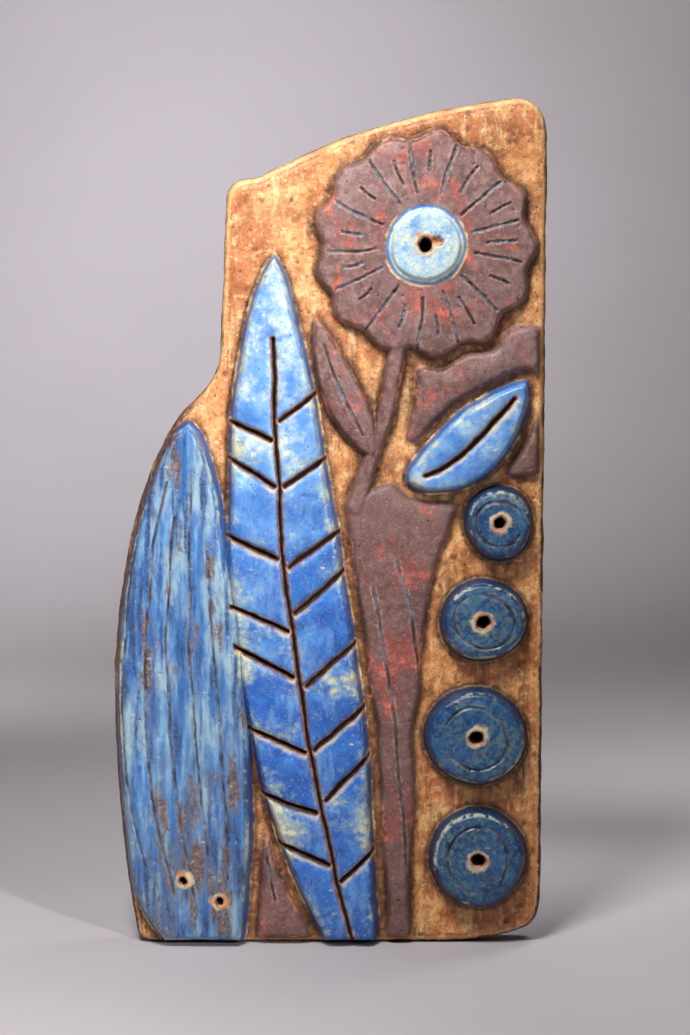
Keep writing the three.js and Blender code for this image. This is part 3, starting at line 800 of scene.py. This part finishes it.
# the walls are painted darker, partly for thick glaze and partly as painted shade, and thin glaze on the rounded edges
# is paler
wall_glaze_and_shade = N.rng(N.add(a_blue, N.mul(wob, 1.6)), 2.2, 0.5)
blue = N.mix(N.mul(wall_glaze_and_shade, 0.75), blue, N.mix(N.rng(a_tone, 1.4, 1.6), lin(28, 70, 144), lin(6, 35, 60)))
lip = N.mul(N.rng(a_blue, 1.6, 2.6), N.rng(N.add(a_blue, N.mul(wob2, 4.0)), 5.4, 3.0))
blue = N.mix(N.mul(lip, N.rng(N.add(N.mul(n_small, 0.6), N.mul(n_big2, 0.55)), 0.56, 0.68, 0, 0.85)), blue, lin(192, 200, 176))
fleck_c = N.cells(N.scaled(PF2, (0.42, 1, 1), (0, 0, 0.35)), 330, flat=True)
fleck = N.mul(N.mul(N.rng(fleck_c.outputs["Distance"], 0.32, 0.2), N.rng(fleck_c.outputs["Color"], 0.84, 0.88)), N.rng(n_mid, 0.5, 0.6))
fleck = N.math("MAXIMUM", fleck, N.mul(N.rng(n_small2, 0.66, 0.7), N.rng(n_big, 0.48, 0.58)))
blue = N.mix(N.mul(fleck, N.rng(a_tone, 0.4, 0.6, 0.85, 0.3)), blue, lin(212, 212, 182))
blue = N.mix(N.mul(d_on, N.rng(n_mid2, 0.47, 0.6, 0.04, 0.6)), blue, lin(58, 50, 50))
blue = N.mix(N.mul(p_on, 0.7), blue, lin(30, 30, 40))

# ---- where each glaze lies
col = N.mix(N.rng(N.add(a_mar, N.mul(wob, 3.4)), -1.1, 0.5), ochre, mar)
notblue = N.rng(N.add(a_blue, N.mul(wob, 2.4)), -0.6, -1.7)
# painted shade: the ground is made dark brown in the channels and hollows; it also shows a thin pale line along the
# foot of parts of the blue forms
deep = N.rng(N.add(a_cav, N.mul(wob2, 2.4)), 0.3, -1.7)
col = N.mix(N.mul(deep, 0.84), col, N.ramp(n_small2, [(0.35, lin(22, 13, 8)), (0.5, lin(66, 38, 20)), (0.62, lin(134, 86, 46)), (0.74, lin(196, 140, 84))]))
foot = N.mul(N.mul(N.rng(N.add(a_blue, N.mul(wob, 3.0)), -3.3, -2.0), N.rng(N.add(N.mul(n_big2, 0.7), N.mul(n_mid2, 0.6)), 0.63, 0.76)), N.rng(a_tone, 1.4, 1.6, 0.8, 0.25))
col = N.mix(foot, col, N.ramp(n_small, [(0.35, lin(196, 146, 84)), (0.6, lin(238, 208, 148))]))
col = N.mix(notblue, blue, col)
# ridges are paler, partly thin worn glaze and partly a painted highlight
ridge_wear_and_highlight = N.mul(N.rng(N.add(a_cav, N.mul(wob2, 1.6)), 0.7, 1.9), N.rng(n_small, 0.42, 0.6, 0.0, 0.45))
ochre_only = N.mul(notblue, N.rng(a_mar, 0.5, -1.5, 0.25, 1.0))
col = N.mix(N.mul(ridge_wear_and_highlight, ochre_only), col, lin(240, 204, 148))

# ---- cuts: bare pinkish lips, floors painted near black as shade, pale thin glaze just below and a thin yellow line above
below = N.mul(N.rng(a_cside, 0.2, -0.5), N.mul(N.rng(N.add(a_cut, N.mul(wob, 7.0)), 6.2, 2.8), N.rng(a_cut, 1.8, 2.4)))
col = N.mix(N.mul(below, N.rng(n_mid, 0.38, 0.6, 0.05, 0.7)), col, lin(206, 192, 146))
above = N.mul(N.rng(a_cside, -0.2, 0.5), N.mul(N.rng(N.add(a_cut, N.mul(wob, 2.0)), 4.0, 2.8), N.rng(a_cut, 2.0, 2.5)))
col = N.mix(N.mul(above, N.rng(n_small2, 0.44, 0.62, 0, 0.7)), col, lin(220, 200, 148))
cut_in = N.rng(N.add(a_cut, N.mul(wob, 1.4)), 2.7, 2.0)
col = N.mix(cut_in, col, N.ramp(n_small2, [(0.3, lin(104, 66, 54)), (0.5, lin(152, 106, 90)), (0.7, lin(200, 152, 126))]))
# painted shade: the floors of the cuts are painted near black
col = N.mix(N.rng(a_cut, 1.7, 0.7), col, lin(15, 9, 7))
# ---- incised lines, some with a little blue left in them
line_in = N.rng(N.add(a_line, N.mul(wob, 1.2)), 1.4, 0.55)
fillc = N.ramp(n_mid2, [(0.4, lin(44, 28, 24)), (0.5, lin(82, 72, 72)), (0.58, lin(90, 110, 132)), (0.64, lin(122, 126, 124)), (0.7, lin(84, 60, 52))])
col = N.mix(N.mul(line_in, 0.9), col, fillc)
burr = N.mul(N.rng(a_line, 1.2, 1.9), N.rng(a_line, 3.2, 2.0))
col = N.mix(N.mul(N.mul(burr, N.rng(n_small2, 0.46, 0.64, 0, 0.6)), N.rng(a_tone, 0.4, 0.6, 1.0, 0.3)), col, N.mix(notblue, lin(150, 162, 160), lin(196, 160, 146)))
# ---- pierced holes: a ring of bare pinkish clay, rust and thin cream glaze round it
smear = N.rng(N.add(a_hole, N.add(N.mul(wob, 6.0), N.mul(wob2, 16.0))), 5.0, 2.0)
col = N.mix(N.mul(smear, 0.8), col, N.ramp(n_mid2, [(0.4, lin(206, 200, 164)), (0.52, lin(222, 196, 150)), (0.62, lin(204, 140, 70))]))
inner = N.rng(N.add(a_hole, N.mul(wob, 2.4)), 1.9, 0.8)
col = N.mix(N.mul(inner, 0.9), col, N.ramp(n_small2, [(0.35, lin(112, 74, 66)), (0.5, lin(158, 116, 106)), (0.62, lin(196, 150, 130)), (0.72, lin(190, 112, 50))]))
# painted shade: the inside of each hole is painted near black
col = N.mix(N.rng(a_hole, -0.3, -1.7), col, lin(8, 5, 4))
# ---- the chip shows the clay
chip_in = N.rng(N.add(a_chip, N.mul(wob, 1.4)), -0.3, 0.3)
col = N.mix(chip_in, col, N.ramp(n_small2, [(0.32, lin(118, 78, 58)), (0.5, lin(182, 134, 100)), (0.68, lin(222, 184, 146))]))
# ---- bare clay at worn parts of the rim, on the sides and on the back
clay = N.ramp(n_small, [(0.25, lin(58, 38, 28)), (0.5, lin(92, 62, 44)), (0.75, lin(134, 96, 68))])
clay = N.mix(N.mul(d_on, 0.8), clay, lin(36, 24, 18))
clay = N.mix(N.rng(n_mid, 0.5, 0.7, 0, 0.55), clay, lin(146, 104, 74))
clay = N.mix(N.rng(n_grain, 0.56, 0.74, 0, 0.5), clay, lin(172, 134, 100))
back = N.ramp(n_mid2, [(0.28, lin(116, 80, 56)), (0.46, lin(150, 110, 80)), (0.6, lin(172, 130, 96)), (0.78, lin(192, 152, 116))])
back = N.mix(N.rng(n_sweep, 0.5, 0.62, 0, 0.6), back, lin(122, 86, 62))
back = N.mix(N.rng(n_big, 0.46, 0.6, 0, 0.5), back, lin(134, 92, 66))
back = N.mix(N.rng(n_brush, 0.54, 0.66, 0, 0.4), back, lin(204, 170, 136))
back = N.mix(N.rng(N.add(a_edge, N.mul(wob2, 40.0)), 22.0, 2.0, 0, 0.75), back, lin(98, 62, 42))
back = N.mix(N.mul(s_on, 0.7), back, lin(84, 54, 38))
back = N.mix(N.mul(d_on, 0.85), back, lin(46, 30, 22))
clay = N.mix(N.rng(sep.outputs[1], -0.002, -0.0004), clay, back)
thin = N.mul(N.rng(N.add(a_edge, N.mul(wob, 4.0)), 4.4, 2.0), N.rng(n_big2, 0.4, 0.56, 0.1, 0.7))
col = N.mix(N.mul(thin, notblue), col, N.ramp(n_small2, [(0.35, lin(206, 146, 86)), (0.6, lin(244, 210, 150))]))
# the swelling left edge is bare, rough and red-brown, with a little blue left on its lower part
redge = N.rng(N.add(a_edge, N.add(N.mul(wob, 6.0), N.mul(wob2, 7.0))), 5.0, 3.6)
redge = N.mul(redge, N.mul(N.rng(sep.outputs[0], -0.085, -0.11), N.mul(N.rng(height, 0.12, 0.08), N.rng(height, -0.2, -0.11, 0.3, 1.0))))
col = N.mix(N.mul(redge, N.rng(n_mid, 0.36, 0.48, 0.45, 1.0)), col, N.ramp(n_small2, [(0.34, lin(44, 26, 20)), (0.47, lin(92, 55, 42)), (0.58, lin(130, 84, 64)), (0.72, lin(188, 146, 118))]))
worn = N.mul(N.rng(N.add(a_edge, N.mul(wob, 5.0)), 3.2, 1.2), N.rng(N.add(n_mid, N.mul(height, -0.6)), 0.44, 0.56))
bare = N.math("MAXIMUM", worn, a_side)
col = N.mix(bare, col, clay)

# ---- gloss and touch
rough = N.rng(n_small, 0.3, 0.7, 0.44, 0.64)
rough_b = N.rng(n_mid, 0.3, 0.7, 0.26, 0.46)
r1 = N.new("ShaderNodeMix", data_type="FLOAT")
N.put(r1.inputs[0], notblue)
N.put(r1.inputs[2], rough_b)
N.put(r1.inputs[3], rough)
r2 = N.math("MAXIMUM", r1.outputs[0], N.mul(N.math("MAXIMUM", N.math("MAXIMUM", bare, cut_in), chip_in), 0.85))

bumps = N.add(N.mul(n_small, 0.5), N.add(N.mul(n_grain, 0.14), N.add(N.mul(p_on, -0.35), N.mul(n_grain2, 0.2))))
bump = N.new("ShaderNodeBump")
bump.inputs["Strength"].default_value = 0.6
bump.inputs["Distance"].default_value = 0.0011
N.put(bump.inputs["Height"], bumps)

bsdf = N.new("ShaderNodeBsdfPrincipled")
N.put(bsdf.inputs["Base Color"], col)
N.put(bsdf.inputs["Roughness"], r2)
N.put(bsdf.inputs["Normal"], bump.outputs[0])
bsdf.inputs["IOR"].default_value = 1.5
outn = N.new("ShaderNodeOutputMaterial")
N.t.links.new(bsdf.outputs[0], outn.inputs[0])
mesh.materials.clear()
mesh.materials.append(mat)

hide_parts("plaque")
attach(plaque, "root")

# ------------------------------------------------------------------ the studio
FLOOR_Z = cad_box[0].z - 0.0004


def sweep():
    prof = [(-3.5, 0.0), (0.0, 0.0), (1.3, 0.0)]
    for i in range(1, 33):
        t = i / 32 * PI / 2
        prof.append((1.3 + 2.1 * math.sin(t), 2.1 - 2.1 * math.cos(t)))
    prof.append((3.4, 4.5))
    v, f = [], []
    for y, z in prof:
        v += [(-4.5, y, FLOOR_Z + z), (4.5, y, FLOOR_Z + z)]
    for i in range(len(prof) - 1):
        f.append((2 * i, 2 * i + 1, 2 * i + 3, 2 * i + 2))
    me = bpy.data.meshes.new("studio_sweep")
    me.from_pydata(v, [], f)
    for p in me.polygons:
        p.use_smooth = True
    ob = bpy.data.objects.new("studio_sweep", me)
    bpy.context.scene.collection.objects.link(ob)
    return ob


floor = sweep()
fm = bpy.data.materials.new("studio_paper")
F = Nodes(fm)
fp = F.new("ShaderNodeTexCoord").outputs["Object"]
fb = F.new("ShaderNodeBsdfPrincipled")
F.put(fb.inputs["Base Color"], F.ramp(F.noise(fp, 3, 3, 0.5), [(0.3, lin(174, 169, 173)), (0.7, lin(179, 173, 178))]))
fb.inputs["Roughness"].default_value = 0.75
F.t.links.new(fb.outputs[0], F.new("ShaderNodeOutputMaterial").inputs[0])
floor.data.materials.append(fm)


def softbox(name, at, to, size, power, tint=(1, 1, 1), spread=180):
    li = bpy.data.lights.new(name, "AREA")
    li.shape = "RECTANGLE"
    li.size, li.size_y = size
    li.energy = power
    li.spread = math.radians(spread)
    li.color = tint
    ob = bpy.data.objects.new(name, li)
    ob.location = at
    ob.rotation_euler = (Vector(to) - Vector(at)).to_track_quat("-Z", "Y").to_euler()
    ob.visible_camera = False
    bpy.context.scene.collection.objects.link(ob)
    return ob


softbox("key", (-0.28, -0.78, 1.24), (0.0, 0.0, 0.24), (0.34, 0.34), 27.5, (1, 0.985, 0.965))
softbox("left", (-1.45, -0.75, 0.75), (-0.35, 0.0, -0.25), (0.9, 0.9), 3.3, (1, 0.985, 0.98))
softbox("second", (1.15, -1.95, 0.62), (-1.05, 0.0, 0.0), (0.14, 0.14), 8.4, (1, 0.98, 0.97), 42)
softbox("backdrop", (-0.40, 1.25, 1.35), (-0.22, 3.1, 0.60), (0.5, 0.7), 14.7, (1, 0.98, 1.0), 115)
softbox("backdrop_left", (-0.80, 0.70, 0.35), (-0.48, 2.7, 0.05), (0.5, 0.6), 7.3, (1, 0.98, 1.0), 130)
softbox("over", (0.70, 0.50, 1.5), (0.50, 0.45, -0.32), (0.4, 0.4), 2.0, (1, 0.98, 1.0), 60)
softbox("over_right", (0.36, 0.36, 1.2), (0.13, 0.20, -0.32), (0.12, 0.12), 0.11, (1, 0.98, 1.0), 18)

world = bpy.data.worlds.new("studio")
bpy.context.scene.world = world
world.use_nodes = True
world.node_tree.nodes["Background"].inputs[0].default_value = (0.80, 0.78, 0.81, 1)
world.node_tree.nodes["Background"].inputs[1].default_value = 0.025

cam_data = bpy.data.cameras.new("camera")
cam_data.lens = 85
cam_data.sensor_width = 36
cam = bpy.data.objects.new("camera", cam_data)
el, dist, aim = math.radians(5.0), 1.865, Vector((0.0125, -0.03, 0.0075))
cam.location = aim + Vector((0, -math.cos(el), math.sin(el))) * dist
cam.rotation_euler = (aim - cam.location).to_track_quat("-Z", "Y").to_euler()
bpy.context.scene.collection.objects.link(cam)
bpy.context.scene.camera = cam

sc = bpy.context.scene
sc.view_settings.view_transform = "Standard"
sc.view_settings.look = "None"
